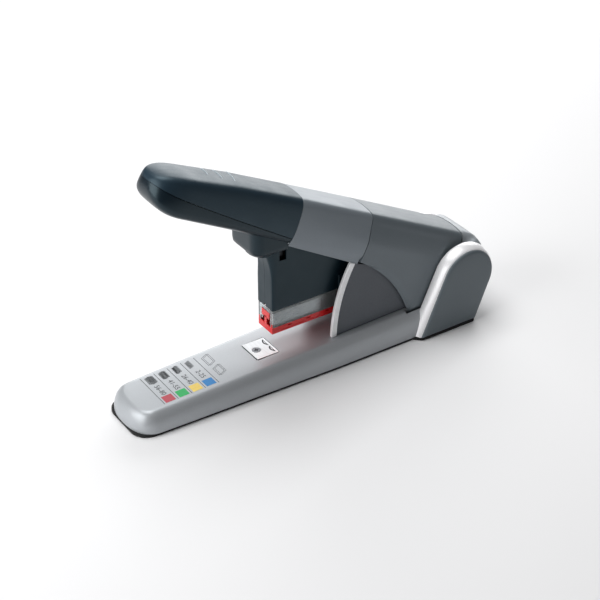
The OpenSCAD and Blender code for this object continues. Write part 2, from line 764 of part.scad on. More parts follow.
module cartridge_cover() place() color([0.85, 0.88, 0.9, 0.45]) difference() {
    box(head_x + 0.1, cart_x1 - 0.1, -cart_half, cart_half, cart_z + 4.7, cart_top);
    box(head_x + 0.9, cart_x1 + 1, -7.3, 7.3, cart_z, cart_top - 1.2);
    box(head_x + 0.85, stick_x0 + 1, -6.6, 6.6, cart_z, cart_top + 1);
    box(head_x - 1, head_x + 8.1, -cart_half - 1, cart_half + 1, cart_z, cart_z + 7.1);
    box(cart_x1 - 2.4, cart_x1 + 1, -cart_half - 1, cart_half + 1, cart_z, cart_z + 15.4);
    box(rail_x0 + 1.5, cart_x1 + 1, -1.8, 1.8, cart_top - 3, cart_top + 1);
}

module staple_stick() place() color([0.83, 0.83, 0.82]) difference() {
    box(stick_x0, stick_x1, -6.3, 6.3, cart_z + 1.5, cart_z + 14.9);
    box(stick_x0 - 1, stick_x1 + 1, -5.5, 5.5, cart_z, cart_z + 14.1);
}

module cartridge_pusher() place() color([0.15, 0.15, 0.16]) union() {
    difference() {
        box(stick_x1 + 0.1, pusher_x1, -6.5, 6.5, cart_z + 2, cart_z + 15.2);
        box(stick_x1 - 1, pusher_x1 + 1, -5.2, 5.2, cart_z, cart_z + 13.9);
    }
    box(stick_x1 + 1, pusher_x1, -3.6, 3.6, cart_z + 3, cart_z + 14.5);
}

module pusher_spring() place() color(steel)
    translate([pusher_x1 + 0.1, 0, cart_z + 7.2]) rotate([0, 90, 0])
        spring(3, 0.6, cart_x1 - 2.3 - pusher_x1 - 0.2, 9);

rubber_foot();
base_plate();
base_cover();
base_screws();
anvil_plate();
anvil_screw();
guard_left();
guard_right();
guard_trim_left();
guard_trim_right();
chassis_bracket();
chassis_screws();
pivot_axle();
axle_clips();
stop_pin();
guide_posts();
head_springs();
handle_spring();
cheek_left();
cheek_right();
cheek_screws();
band_left();
band_right();
tail_cover();
grip_top();
grip_lower();
mid_shell();
rear_shell();
lever_channel();
pivot_bushes();
handle_screws();
head_shell_left();
head_shell_right();
head_carriage();
magazine_rail();
rail_detent();
head_screws();
driver_blade();
driver_block();
driver_pin();
cartridge_tray();
cartridge_cover();
staple_stick();
cartridge_pusher();
pusher_spring();
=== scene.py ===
import math

import bmesh
import bpy
from mathutils import Matrix, Vector


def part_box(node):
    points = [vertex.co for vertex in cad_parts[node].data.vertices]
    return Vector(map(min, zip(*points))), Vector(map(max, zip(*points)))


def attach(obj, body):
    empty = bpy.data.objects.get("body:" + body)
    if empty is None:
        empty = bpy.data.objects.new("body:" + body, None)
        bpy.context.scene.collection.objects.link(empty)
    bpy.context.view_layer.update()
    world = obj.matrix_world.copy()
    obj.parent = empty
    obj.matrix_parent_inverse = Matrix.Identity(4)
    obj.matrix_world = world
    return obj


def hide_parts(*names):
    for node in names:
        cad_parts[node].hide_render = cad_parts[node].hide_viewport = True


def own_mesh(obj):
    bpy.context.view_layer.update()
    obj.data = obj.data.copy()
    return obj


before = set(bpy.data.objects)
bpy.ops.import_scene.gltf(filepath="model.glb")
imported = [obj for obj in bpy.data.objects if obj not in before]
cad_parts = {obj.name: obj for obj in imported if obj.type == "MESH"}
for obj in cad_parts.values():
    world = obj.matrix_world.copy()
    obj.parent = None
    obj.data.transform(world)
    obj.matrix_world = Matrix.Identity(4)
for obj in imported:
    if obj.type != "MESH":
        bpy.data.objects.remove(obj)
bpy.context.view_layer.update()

# ---- frame: millimetres from the nose of the base, and the handle's own tilted frame ----

MM = 0.001
NOSE_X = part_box("base_cover")[0].x
TILT = math.radians(27)
COS, SIN = math.cos(TILT), math.sin(TILT)


def at(x, y, z):
    """A point in the row frame from millimetres behind the nose, across and up."""
    return Vector((NOSE_X + x * MM, y * MM, z * MM))


def on_handle(u, y, v):
    """A point from the handle's own frame: u along it, y across it, v up from it."""
    return at(u * COS + v * SIN, y, v * COS - u * SIN)


# ---- curves and meshes ----

def along(table, x):
    """Straight interpolation in a table of (x, value) pairs."""
    for (x0, a), (x1, b) in zip(table, table[1:]):
        if x <= x1:
            return a + (b - a) * max(0.0, x - x0) / (x1 - x0)
    return table[-1][1]


def smooth(x, low, high):
    """0 below low, 1 above high and a soft step between."""
    t = min(1.0, max(0.0, (x - low) / (high - low)))
    return t * t * (3 - 2 * t)


def curve_through(knots, steps):
    """A smooth curve through the knots, with steps points from one knot to the next."""
    knots = [Vector(k) for k in knots]
    line = [2 * knots[0] - knots[1], *knots, 2 * knots[-1] - knots[-2]]
    points = []
    for a, b, c, d in zip(line, line[1:], line[2:], line[3:]):
        t1 = math.sqrt((b - a).length)
        t2 = t1 + math.sqrt((c - b).length)
        t3 = t2 + math.sqrt((d - c).length)
        for k in range(steps):
            t = t1 + (t2 - t1) * k / steps
            ab = a.lerp(b, t / t1)
            bc = b.lerp(c, (t - t1) / (t2 - t1))
            cd = c.lerp(d, (t - t2) / (t3 - t2))
            abc = ab.lerp(bc, t / t2)
            bcd = bc.lerp(cd, (t - t1) / (t3 - t1))
            points.append(abc.lerp(bcd, (t - t1) / (t2 - t1)))
    points.append(knots[-1])
    return points


def resample(points, count):
    """count points evenly spaced along a line of points."""
    lengths = [0.0]
    for a, b in zip(points, points[1:]):
        lengths.append(lengths[-1] + (b - a).length)
    result, k = [], 0
    for i in range(count):
        goal = lengths[-1] * i / (count - 1)
        while k < len(points) - 2 and lengths[k + 1] < goal:
            k += 1
        span = max(lengths[k + 1] - lengths[k], 1e-9)
        result.append(points[k].lerp(points[k + 1], (goal - lengths[k]) / span))
    return result


def split_at(points, level):
    """Cuts a falling line of (y, height) points at a height: what is above it and what is below."""
    for i, (a, b) in enumerate(zip(points, points[1:])):
        if a.y >= level > b.y:
            cut = a.lerp(b, (a.y - level) / (a.y - b.y))
            return points[:i + 1] + [cut], [cut] + points[i + 1:]
    return points, [points[-1], points[-1]]


def inset(points, distance):
    """The same line moved by a distance to the right of its direction of travel."""
    moved = []
    for i, p in enumerate(points):
        run = points[min(i + 1, len(points) - 1)] - points[max(i - 1, 0)]
        if run.length < 1e-9:
            moved.append(p.copy())
            continue
        run.normalize()
        moved.append(p + Vector((run.y, -run.x)) * distance)
    return moved


def mesh_from(name, points, faces):
    """A clean mesh: doubled points merged, faces turned outwards."""
    mesh = bpy.data.meshes.new(name)
    mesh.from_pydata([tuple(p) for p in points], [], faces)
    work = bmesh.new()
    work.from_mesh(mesh)
    bmesh.ops.remove_doubles(work, verts=work.verts, dist=2e-6)
    bmesh.ops.dissolve_degenerate(work, edges=work.edges, dist=1e-6)
    bmesh.ops.recalc_face_normals(work, faces=work.faces)
    work.to_mesh(mesh)
    work.free()
    return mesh


def shell_mesh(name, outer, inner):
    """A closed thin shell between two grids of points of the same size."""
    rows, columns = len(outer), len(outer[0])
    points = [p for grid in (outer, inner) for row in grid for p in row]
    faces = []

    def a(i, j):
        return i * columns + j

    def b(i, j):
        return (rows + i) * columns + j

    for i in range(rows - 1):
        for j in range(columns - 1):
            faces.append((a(i, j), a(i, j + 1), a(i + 1, j + 1), a(i + 1, j)))
            faces.append((b(i, j), b(i + 1, j), b(i + 1, j + 1), b(i, j + 1)))
    for i in (0, rows - 1):
        faces += [(a(i, j), b(i, j), b(i, j + 1), a(i, j + 1)) for j in range(columns - 1)]
    for j in (0, columns - 1):
        faces += [(a(i, j), a(i + 1, j), b(i + 1, j), b(i, j)) for i in range(rows - 1)]
    return mesh_from(name, points, faces)


def loft_mesh(name, rings):
    """Skins a row of rings and caps both ends."""
    n, count = len(rings[0]), len(rings)
    points = [p for ring in rings for p in ring]
    faces = []
    for i in range(count - 1):
        for j in range(n):
            m = (j + 1) % n
            faces.append((i * n + j, i * n + m, (i + 1) * n + m, (i + 1) * n + j))
    faces += [tuple(range(n)), tuple((count - 1) * n + j for j in range(n))]
    return mesh_from(name, points, faces)


def joined_mesh(name, meshes):
    """Several meshes as one."""
    work = bmesh.new()
    for mesh in meshes:
        work.from_mesh(mesh)
        bpy.data.meshes.remove(mesh)
    result = bpy.data.meshes.new(name)
    work.to_mesh(result)
    work.free()
    return result


def block_mesh(low, high, place=at):
    """A box between two corners, given in millimetres in the frame that place reads."""
    xs, ys, zs = zip(low, high)
    rings = [[place(x, ys[a], zs[b]) for a, b in ((0, 0), (1, 0), (1, 1), (0, 1))] for x in xs]
    return loft_mesh("block", rings)


def circle(centre, side, other, radius, sides):
    """Points round a circle in the plane of two unit vectors."""
    turn = [2 * math.pi * k / sides for k in range(sides)]
    return [centre + (side * math.cos(t) + other * math.sin(t)) * radius for t in turn]


def tube_mesh(path, radius, sides):
    """A round wire along a path in the row frame. radius is in metres."""
    rings, side = [], None
    for i, p in enumerate(path):
        run = (path[min(i + 1, len(path) - 1)] - path[max(i - 1, 0)]).normalized()
        if side is None:
            side = run.orthogonal().normalized()
        side = (side - run * side.dot(run)).normalized()
        rings.append(circle(p, side, run.cross(side), radius, sides))
    return loft_mesh("tube", rings)


def disc_mesh(centre, normal, radius, depth):
    """A short round bar that starts at centre and runs depth along normal, in metres."""
    normal = Vector(normal).normalized()
    side = normal.orthogonal().normalized()
    ring = circle(centre, side, normal.cross(side), radius, 40)
    return loft_mesh("disc", [ring, [p + normal * depth for p in ring]])


def carve(mesh, cutters):
    """The mesh with the cutters' meshes taken away."""
    target = bpy.data.objects.new("carve_target", mesh)
    bpy.context.scene.collection.objects.link(target)
    tools = []
    for cutter in cutters:
        tool = bpy.data.objects.new("carve_tool", cutter)
        bpy.context.scene.collection.objects.link(tool)
        modifier = target.modifiers.new("carve", "BOOLEAN")
        modifier.operation = "DIFFERENCE"
        modifier.solver = "EXACT"
        modifier.object = tool
        tools.append(tool)
    bpy.context.view_layer.update()
    graph = bpy.context.evaluated_depsgraph_get()
    result = bpy.data.meshes.new_from_object(target.evaluated_get(graph))
    for item in [target, *tools]:
        bpy.data.objects.remove(item)
    return result


def piece(name, mesh, body, surface, stands_for=(), sharp=40, bevel=0.0):
    """Puts a mesh in the scene as a piece that rides on a body. bevel is in millimetres."""
    mesh.materials.clear()
    mesh.materials.append(surface)
    mesh.polygons.foreach_set("use_smooth", [True] * len(mesh.polygons))
    mesh.set_sharp_from_angle(angle=math.radians(sharp))
    item = bpy.data.objects.new(name, mesh)
    bpy.context.scene.collection.objects.link(item)
    if bevel:
        soften(item, bevel)
    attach(item, body)
    if stands_for:
        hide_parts(*stands_for)
    return item


def soften(item, width):
    """Rounds an object's sharp edges by width millimetres."""
    modifier = item.modifiers.new("soft_edges", "BEVEL")
    modifier.width = width * MM
    modifier.segments = 2
    modifier.limit_method = "ANGLE"
    modifier.angle_limit = math.radians(35)
    modifier.use_clamp_overlap = True


# ---- materials ----

def linear(red, green, blue):
    """A screen colour, 0 to 255, as the shader reads it."""
    def one(c):
        c /= 255
        return c / 12.92 if c <= 0.04045 else ((c + 0.055) / 1.055) ** 2.4
    return (one(red), one(green), one(blue), 1.0)


class Surface:
    """Builds one procedural material around a Principled shader."""

    def __init__(self, name, colour, roughness, metallic=0.0, **sockets):
        self.material = bpy.data.materials.new(name)
        self.material.use_nodes = True
        self.nodes = self.material.node_tree.nodes
        self.links = self.material.node_tree.links
        self.shader = self.nodes["Principled BSDF"]
        self.colour = linear(*colour)
        self.roughness = roughness
        self.place = self.nodes.new("ShaderNodeTexCoord").outputs["Object"]
        self.shader.inputs["Base Color"].default_value = self.colour
        self.shader.inputs["Roughness"].default_value = roughness
        self.shader.inputs["Metallic"].default_value = metallic
        for socket, value in sockets.items():
            self.shader.inputs[socket.replace("_", " ")].default_value = value

    def noise(self, scale, detail, stretch):
        """Noise in the object's own space. scale is in features to the metre."""
        mapping = self.nodes.new("ShaderNodeMapping")
        mapping.inputs["Scale"].default_value = stretch
        self.links.new(self.place, mapping.inputs["Vector"])
        texture = self.nodes.new("ShaderNodeTexNoise")
        texture.inputs["Scale"].default_value = scale
        texture.inputs["Detail"].default_value = detail
        self.links.new(mapping.outputs["Vector"], texture.inputs["Vector"])
        return texture.outputs["Fac"]

    def to_range(self, value, low, high):
        """Stretches the middle of a noise's range between two limits."""
        node = self.nodes.new("ShaderNodeMapRange")
        node.inputs["From Min"].default_value = 0.3
        node.inputs["From Max"].default_value = 0.7
        node.inputs["To Min"].default_value = low
        node.inputs["To Max"].default_value = high
        self.links.new(value, node.inputs["Value"])
        return node.outputs["Result"]

    def mottle(self, scale, amount, stretch=(1, 1, 1)):
        """Lets the colour drift a little lighter and darker."""
        mix = self.nodes.new("ShaderNodeMix")
        mix.data_type = "RGBA"
        mix.inputs["A"].default_value = tuple(c * (1 - amount) for c in self.colour[:3]) + (1.0,)
        mix.inputs["B"].default_value = tuple(min(1.0, c * (1 + amount)) for c in self.colour[:3]) + (1.0,)
        self.links.new(self.to_range(self.noise(scale, 4.0, stretch), 0.0, 1.0), mix.inputs["Factor"])
        self.links.new(mix.outputs["Result"], self.shader.inputs["Base Color"])
        return self

    def uneven_gloss(self, scale, amount, stretch=(1, 1, 1)):
        """Lets the roughness drift."""
        low = max(0.02, self.roughness - amount)
        value = self.to_range(self.noise(scale, 3.0, stretch), low, self.roughness + amount)
        self.links.new(value, self.shader.inputs["Roughness"])
        return self

    def grain(self, scale, height, stretch=(1, 1, 1)):
        """Fine relief. height is in millimetres."""
        bump = self.nodes.new("ShaderNodeBump")
        bump.inputs["Distance"].default_value = height * MM
        bump.inputs["Strength"].default_value = 1.0
        self.links.new(self.noise(scale, 2.0, stretch), bump.inputs["Height"])
        self.links.new(bump.outputs["Normal"], self.shader.inputs["Normal"])
        return self


def metal_paint(name, colour, roughness, metallic):
    """Satin paint with metal flakes in it."""
    return (Surface(name, colour, roughness, metallic, Coat_Weight=0.12, Coat_Roughness=0.3)
            .mottle(5200, 0.10).uneven_gloss(60, 0.03).grain(6500, 0.006)).material


def moulded(name, colour, roughness, height=0.02, **sockets):
    """Moulded plastic with a fine spark-eroded grain."""
    return (Surface(name, colour, roughness, **sockets)
            .mottle(700, 0.06).uneven_gloss(90, 0.04).grain(3800, height)).material


def glossy(name, colour, roughness, **sockets):
    """Polished plastic with only the faintest orange peel."""
    return (Surface(name, colour, roughness, **sockets)
            .mottle(45, 0.05).uneven_gloss(35, 0.02).grain(160, 0.012)).material


def brushed(name, colour, roughness, along_axis=0):
    """Rolled or ground steel with streaks along one axis."""
    stretch = [1.0, 1.0, 1.0]
    stretch[along_axis] = 0.03
    return (Surface(name, colour, roughness, 1.0)
            .mottle(2600, 0.10, stretch)
            .uneven_gloss(1800, 0.07, stretch)
            .grain(2600, 0.01, stretch)).material


def clear_plastic(name, colour, roughness):
    """See-through plastic with faint flow marks."""
    return (Surface(name, colour, roughness, 0.0, IOR=1.49, Transmission_Weight=0.88)
            .mottle(120, 0.03).uneven_gloss(60, 0.03).grain(90, 0.01)).material


def ink(name, colour):
    """A printed mark."""
    return Surface(name, colour, 0.5).mottle(1500, 0.08).grain(2500, 0.003).material


COOL = (0.66, 0.87, 0.96, 1.0)        # tint of the gloss on the dark blue-grey plastics
SILVER = metal_paint("silver_paint", (176, 180, 184), 0.42, 0.38)
TRIM = metal_paint("bright_trim", (243, 243, 245), 0.34, 0.2)
MID = metal_paint("mid_paint", (126, 134, 141), 0.42, 0.25)
REAR = metal_paint("rear_paint", (103, 112, 118), 0.42, 0.25)
# the hood's grey is lighter than the rear shell's to stand for the light it reflects: painted sheen
HOOD_WITH_PAINTED_SHEEN = metal_paint("hood_paint_painted_sheen", (146, 152, 157), 0.40, 0.25)
CHEEK = metal_paint("cheek_paint", (92, 102, 108), 0.5, 0.1)
GUARD = moulded("guard_plastic", (82, 87, 94), 0.5)
SOFT = moulded("soft_grip", (25, 41, 53), 0.42, 0.03, Specular_IOR_Level=0.6, Specular_Tint=COOL)
GLOSS = glossy("gloss_dark", (4, 17, 27), 0.33, Specular_Tint=COOL)
HEAD = moulded("head_plastic", (7, 24, 34), 0.42, 0.008, Specular_Tint=COOL)
BLACK = moulded("black_plastic", (20, 21, 23), 0.5)
RUBBER = moulded("foot_rubber", (14, 14, 15), 0.8, 0.05)
NYLON = moulded("bush_nylon", (225, 220, 200), 0.5)
ZINC = brushed("zinc_steel", (196, 200, 205), 0.34)
ZINC_UP = brushed("zinc_steel_upright", (196, 200, 205), 0.34, 2)
ANVIL = brushed("anvil_steel", (196, 198, 200), 0.36, 1)
SCREW = brushed("screw_steel", (118, 120, 124), 0.38)
RIDGE = moulded("grip_ridge", (160, 172, 180), 0.4)
SPRING = brushed("spring_wire", (176, 178, 182), 0.28)
DARK_STEEL = brushed("dark_steel", (58, 60, 64), 0.4)
STAPLE = brushed("staple_wire", (205, 206, 206), 0.3, 1)
RED_DEPTH = (0.004, 0.001, 0.001)     # how far red, green and blue light go into the red plastic
RED = glossy("red_plastic", (224, 40, 42), 0.25, Subsurface_Weight=0.2, Subsurface_Radius=RED_DEPTH)
CLEAR = clear_plastic("clear_plastic", (225, 230, 232), 0.12)
INK_GREY = ink("ink_grey", (146, 150, 154))
INK_DARK = ink("ink_dark", (48, 50, 54))
CHART_COLOURS = {"red": (178, 58, 74), "green": (0, 168, 84), "yellow": (232, 202, 96), "blue": (0, 122, 190)}


# ---- base ----

FOOT_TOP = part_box("rubber_foot")[1].z / MM
BASE_END = 229                      # the cover stops inside the housing
BASE_WALL, END_WALL = 2.2, 1.5
POST_X, POST_Y = 178, 12            # the two guide posts
BASE_SHOULDER = ((0.0, 0.0), (0.15, 0.2), (0.75, 0.42), (1.9, 0.66), (3.4, 0.83), (5.0, 0.94), (6.4, 0.99),
                 (7.6, 1.0))        # how far the side leans in, against the share of the height


def base_top(x):
    return 15.2 + 0.0245 * x


def base_half(x):
    """Half of the footprint's width, apart from the rounded nose."""
    return along(((0, 23.6), (14, 24.0), (43, 25.0), (88, 26.0), (150, 27.8), (300, 27.8)), x)


def base_outline(inwards, end):
    """The footprint from the rear left corner round the nose to the rear right one."""
    points = []
    reach, power = 17.0, 2.5
    for k in range(33):
        t = math.pi / 2 * k / 32
        x = reach * (1 - math.cos(t) ** (2 / power))
        y = base_half(reach) * math.sin(t) ** (2 / power)
        points.append(Vector((x, y)))
    points += [Vector((x, base_half(x))) for x in range(20, BASE_END - 5, 6)]
    points.append(Vector((BASE_END, base_half(BASE_END))))
    moved = inset(points, inwards)
    moved[0].y = 0
    moved[-1].x = end
    left = [Vector((p.x, p.y)) for p in reversed(moved)]
    right = [Vector((p.x, -p.y)) for p in moved[1:]]
    return left + right


def base_ring(inwards, share, drop=0.0, end=BASE_END):
    ring = []
    for p in base_outline(inwards, end):
        height = base_top(p.x) - drop - FOOT_TOP
        ring.append(at(p.x, p.y, FOOT_TOP + height * share))
    return ring


def make_base():
    """The silver cover, with its anvil pocket and the holes that the handle's skirt and the posts pass."""
    inner = [base_ring(i + BASE_WALL, s, BASE_WALL, BASE_END - END_WALL) for i, s in reversed(BASE_SHOULDER)]
    outer = [base_ring(i, s) for i, s in BASE_SHOULDER]
    mesh = loft_mesh("base_body", inner + outer)
    skirt_slots = [block_mesh((209, s * 19.2, 12.6), (228, s * 22.4, 40)) for s in (-1, 1)]
    post_holes = [disc_mesh(at(POST_X, s * POST_Y, 12), (0, 0, 1), 2.0 * MM, 20 * MM) for s in (-1, 1)]
    mesh = carve(mesh, [pocket_mesh(0.5 * MM, 2.3 * MM), *skirt_slots, *post_holes])
    piece("base_body", mesh, "base", SILVER, ["base_cover"], sharp=30, bevel=0.3)
    deck = base_top(100)
    # a black block below the anvil pocket, seen through the gap round the anvil plate: painted shadow in the
    # gap
    floor = block_mesh((93, -13, deck - 5), (116, 13, deck - BASE_WALL))
    piece("anvil_gap_shadow", floor, "base", BLACK, bevel=0.2)
    make_anvil_groove_shade()


def make_anvil_groove_shade():
    """Two dark crescents drawn flat on the anvil plate for the grooves that turn the staple's legs in:
    painted shade of the grooves.
    """
    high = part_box("anvil_plate")[1]
    grooves = []
    for side in (-1, 1):
        line = [(111.2 - 1.3 * math.sin(math.pi * k / 10), side * (1.2 + 0.62 * k)) for k in range(11)]
        grooves += stroke(line, 0.85)
        grooves += stroke([line[0], line[-1]], 0.4)
    rings = [[[at(x, y, high.z / MM + z) for x, y in quad] for z in (-0.02, 0.04)] for quad in grooves]
    mesh = joined_mesh("anvil_groove_shade", [loft_mesh("mark", pair) for pair in rings])
    # DARK_STEEL on these marks is painted shade in the grooves
    piece("anvil_groove_shade", mesh, "base", DARK_STEEL)


def pocket_mesh(gap, depth):
    """The rounded hole in the deck that the anvil sits in."""
    low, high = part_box("anvil_plate")
    radius = 1.4 * MM
    ring = []
    x0, x1 = low.x - gap, high.x + gap
    y0, y1 = low.y - gap, high.y + gap
    for cx, cy, start in ((x1, y1, 0), (x0, y1, 90), (x0, y0, 180), (x1, y0, 270)):
        for k in range(7):
            t = math.radians(start + 15 * k)
            dx = radius if cx == x0 else -radius
            dy = radius if cy == y0 else -radius
            ring.append(Vector((cx + dx + radius * math.cos(t), cy + dy + radius * math.sin(t), 0)))
    up = Vector((0, 0, high.z + 0.01))
    down = Vector((0, 0, high.z - depth))
    return loft_mesh("pocket", [[p + down for p in ring], [p + up for p in ring]])


# ---- what is printed on the base ----

PRINT_LIFT = 0.05                   # the ink stands this far above the paint
CHART_LINES = (23, 33, 43, 53, 63)
CHART_SIDE = (-15.7, 16.5)


def printed(name, outlines, surface):
    """Flat printed shapes on the deck, each a list of (x, y) points, with a little thickness."""
    meshes = []
    for outline in outlines:
        rings = [[at(x, y, base_top(x) + z) for x, y in outline] for z in (0.0, PRINT_LIFT)]
        meshes.append(loft_mesh("print", rings))
    piece(name, joined_mesh(name, meshes), "base", surface)


def stroke(points, width, closed=False):
    """Thin quads that follow a line of (x, y) points."""
    quads = []
    points = [Vector(p) for p in points]
    if closed:
        points.append(points[0])
    for a, b in zip(points, points[1:]):
        run = (b - a).normalized()
        side = Vector((-run.y, run.x)) * width / 2
        a, b = a - run * width / 2, b + run * width / 2
        quads.append([a - side, b - side, b + side, a + side])
    return quads


def lettering(name, labels):
    """Sheet counts. Each label is (text, x of its foot, y of its middle, height)."""
    meshes = []
    for text, x0, y0, height in labels:
        font = bpy.data.curves.new(name, "FONT")
        font.body = text
        font.size = height
        font.align_x = "CENTER"
        font.resolution_u = 3
        holder = bpy.data.objects.new(name, font)
        bpy.context.scene.collection.objects.link(holder)
        bpy.context.view_layer.update()
        flat = bpy.data.meshes.new_from_object(holder.evaluated_get(bpy.context.evaluated_depsgraph_get()))
        bpy.data.objects.remove(holder)
        bpy.data.curves.remove(font)
        work = bmesh.new()
        work.from_mesh(flat)
        bmesh.ops.remove_doubles(work, verts=work.verts, dist=1e-4)
        top = bmesh.ops.extrude_face_region(work, geom=work.faces[:])["geom"]
        raised = {v for v in top if isinstance(v, bmesh.types.BMVert)}
        for v in work.verts:
            x, y = x0 + v.co.y, y0 - v.co.x
            v.co = at(x, y, base_top(x) + (PRINT_LIFT if v in raised else 0.0))
        bmesh.ops.recalc_face_normals(work, faces=work.faces)
        work.to_mesh(flat)
        work.free()
        meshes.append(flat)
    piece(name, joined_mesh(name, meshes), "base", INK_DARK)


def sheaf_outline(x, y, long, wide, lean):
    """A leaning sheet of paper with a corner at x and y."""
    corners = ((0, 0), (wide, lean), (wide, lean + long), (0, long))
    return [(x + a, y + b) for a, b in corners]


def make_chart():
    rules = [q for x in CHART_LINES for q in stroke([(x, CHART_SIDE[0]), (x, CHART_SIDE[1])], 0.36)]
    printed("chart_lines", rules, INK_DARK)
    square, rows = 7.2, ("red", "green", "yellow", "blue")
    for x, shade in zip(CHART_LINES, rows):
        x0, y0 = x + (10 - square) / 2, CHART_SIDE[0] + 0.3
        corners = [(x0, y0), (x0 + square, y0), (x0 + square, y0 + square), (x0, y0 + square)]
        printed("chart_" + shade, [corners], ink("ink_" + shade, CHART_COLOURS[shade]))
    counts = ("56-80", "41-55", "26-40", "2-25")
    lettering("chart_counts", [(c, x + 3.3, -1.4, 5.0) for x, c in zip(CHART_LINES, counts)])
    heaps, edges = [], []
    for x, sheets in zip(CHART_LINES, (8, 6, 4, 2)):
        for k in range(sheets):
            outline = sheaf_outline(x + 2.2 + 0.38 * k, 7.8 - 0.18 * k, 7.0, 3.2, 1.2)
            heaps.append(outline)
            edges += stroke(outline, 0.16, closed=True)
    printed("chart_sheaves", heaps, INK_GREY)
    leaves = [sheaf_outline(67, 3.5, 9.5, 5.0, 2.6), sheaf_outline(67.4, -9.5, 8.5, 5.0, 2.6)]
    for leaf in leaves:
        edges += stroke(leaf, 0.26, closed=True)
        edges += stroke([(x + 1.1, y - 0.5) for x, y in leaf], 0.2, closed=True)
    printed("chart_outlines", edges, INK_DARK)


# ---- handle ----

SEAM_GRIP, SEAM_MID, SEAM_TAIL = 57.0, 117.5, 203.2
GRIP_TIP = -51.8
GRIP_SHOULDER, BELLY_START = -24.0, -22.0   # where the top and the belly begin to close towards the tip
GRIP_HALF = 18.6
TOP_POWER, BELLY_POWER = 0.40, 0.42         # how blunt the tip is above and below
TIP_V = 162.6                       # height of the very tip
SHELL_WALL = 2.0
SEAM_GAP = 0.22
# the grip's half section as shares of its half width and of its height, from the crest to the belly
GRIP_SHAPE = ((0, 0), (0.42, 0.012), (0.70, 0.045), (0.82, 0.11), (0.89, 0.21), (0.95, 0.376), (0.99, 0.556),
              (1.0, 0.70), (0.985, 0.82), (0.90, 0.915), (0.72, 0.974), (0.40, 0.996), (0, 1))
# half sections of the handle at its seams, as points (y, v) from the crest down
SECTION_GRIP = ((0, 175.4), (7.8, 174.9), (13.2, 173.8), (15.4, 171.6), (16.7, 168.0), (17.8, 162.6),
                (18.4, 156.4), (18.5, 150.4), (18.4, 147.0), (18.1, 145.2), (17.3, 143.2))
SECTION_MID = ((0, 175.6), (8.0, 175.1), (14.2, 173.8), (16.3, 171.4), (17.6, 168.0), (19.8, 162.0),
               (21.4, 156.3), (21.6, 147.4), (20.9, 145.4), (19.9, 142.8), (19.7, 140.2))
SECTION_REAR = ((0, 175.6), (8.0, 175.1), (14.2, 173.8), (16.3, 171.4), (17.6, 168.0), (19.8, 162.0),
                (21.4, 156.3), (21.6, 150.6), (21.6, 140.0), (21.6, 120.0), (21.6, 100.0))
SECTION_TAIL = ((0, 175.6), (8.5, 175.1), (14.9, 173.6), (16.9, 171.0), (18.0, 167.4), (19.9, 162.0),
                (21.3, 156.3), (21.6, 150.0), (21.6, 140.0), (21.6, 120.0), (21.6, 100.0))


def parting(u):
    """Height of the line where the grip's two shells meet."""
    return along(((GRIP_TIP, TIP_V), (-38, 160.2), (-15.6, 157.2), (11, 153.8), (57, 148.6)), u)


def closing(u, start, power):
    """1 along the grip, falling to 0 at its tip in a round nose."""
    t = min(1.0, max(0.0, (start - u) / (start - GRIP_TIP)))
    return (1 - t ** 3) ** power


def grip_section(u):
    half = GRIP_HALF * closing(u, GRIP_SHOULDER, TOP_POWER)
    crest = along(((GRIP_TIP, 171.6), (-24, 172.8), (10, 174.7), (57, 175.4)), u)
    belly = along(((-24, 145.7), (10, 145.0), (57, 142.6)), u)
    top = TIP_V + (crest - TIP_V) * closing(u, GRIP_SHOULDER, TOP_POWER)
    low = TIP_V - (TIP_V - belly) * closing(u, BELLY_START, BELLY_POWER)
    shape = curve_through(GRIP_SHAPE, 6)
    return [Vector((half * a, top - (top - low) * b)) for a, b in shape]


def whole(u, points):
    """Both sides of a half section, as points of the row frame."""
    left = [on_handle(u, p.x, p.y) for p in reversed(points)]
    return left + [on_handle(u, -p.x, p.y) for p in points[1:]]


def grip_rows(upper, columns):
    """The outer and inner grids of one of the grip's shells, closer together towards the tip."""
    outer, inner = [], []
    nose_length, rest = GRIP_TIP - GRIP_SHOULDER, SEAM_GRIP - GRIP_SHOULDER
    stations = [GRIP_SHOULDER + nose_length * math.cos(math.pi / 2 * k / 30) for k in range(31)]
    stations += [GRIP_SHOULDER + rest * k / 30 for k in range(1, 31)]
    for u in stations:
        nose = closing(u, GRIP_SHOULDER, TOP_POWER)
        step = SEAM_GAP * nose * (1 if upper else -1)
        points = grip_section(u)
        above, below = split_at(points, parting(u) + step)
        line = resample(above if upper else list(reversed(below)), columns)
        wall = min(SHELL_WALL, 0.4 * points[0].y - 0.4 * points[-1].y)
        wall = min(wall, 0.45 * max(p.x for p in points))
        shift = 2.0 * (1 - nose)
        outer.append(whole(u, line))
        inner.append(whole(u + shift, inset(line, wall if upper else -wall)))
    return outer, inner


def make_grip():
    outer, inner = grip_rows(True, 34)
    mesh = shell_mesh("grip_shell_top", outer, inner)
    piece("grip_shell_top", mesh, "handle", SOFT, ["grip_top"], sharp=45, bevel=0.25)
    outer, inner = grip_rows(False, 30)
    mesh = shell_mesh("grip_shell_lower", outer, inner)
    fork = block_mesh((41, -14.8, 130), (60, 14.8, 160), on_handle)
    axis = on_handle(0, 0, 1) - on_handle(0, 0, 0)
    holes = [disc_mesh(on_handle(u, 0, 138), axis, 3.1 * MM, 9 * MM) for u in (-20, 8)]
    mesh = carve(mesh, [fork, *holes])
    piece("grip_shell_lower", mesh, "handle", GLOSS, ["grip_lower"], sharp=45, bevel=0.2)
    make_collar()
    make_ridges()


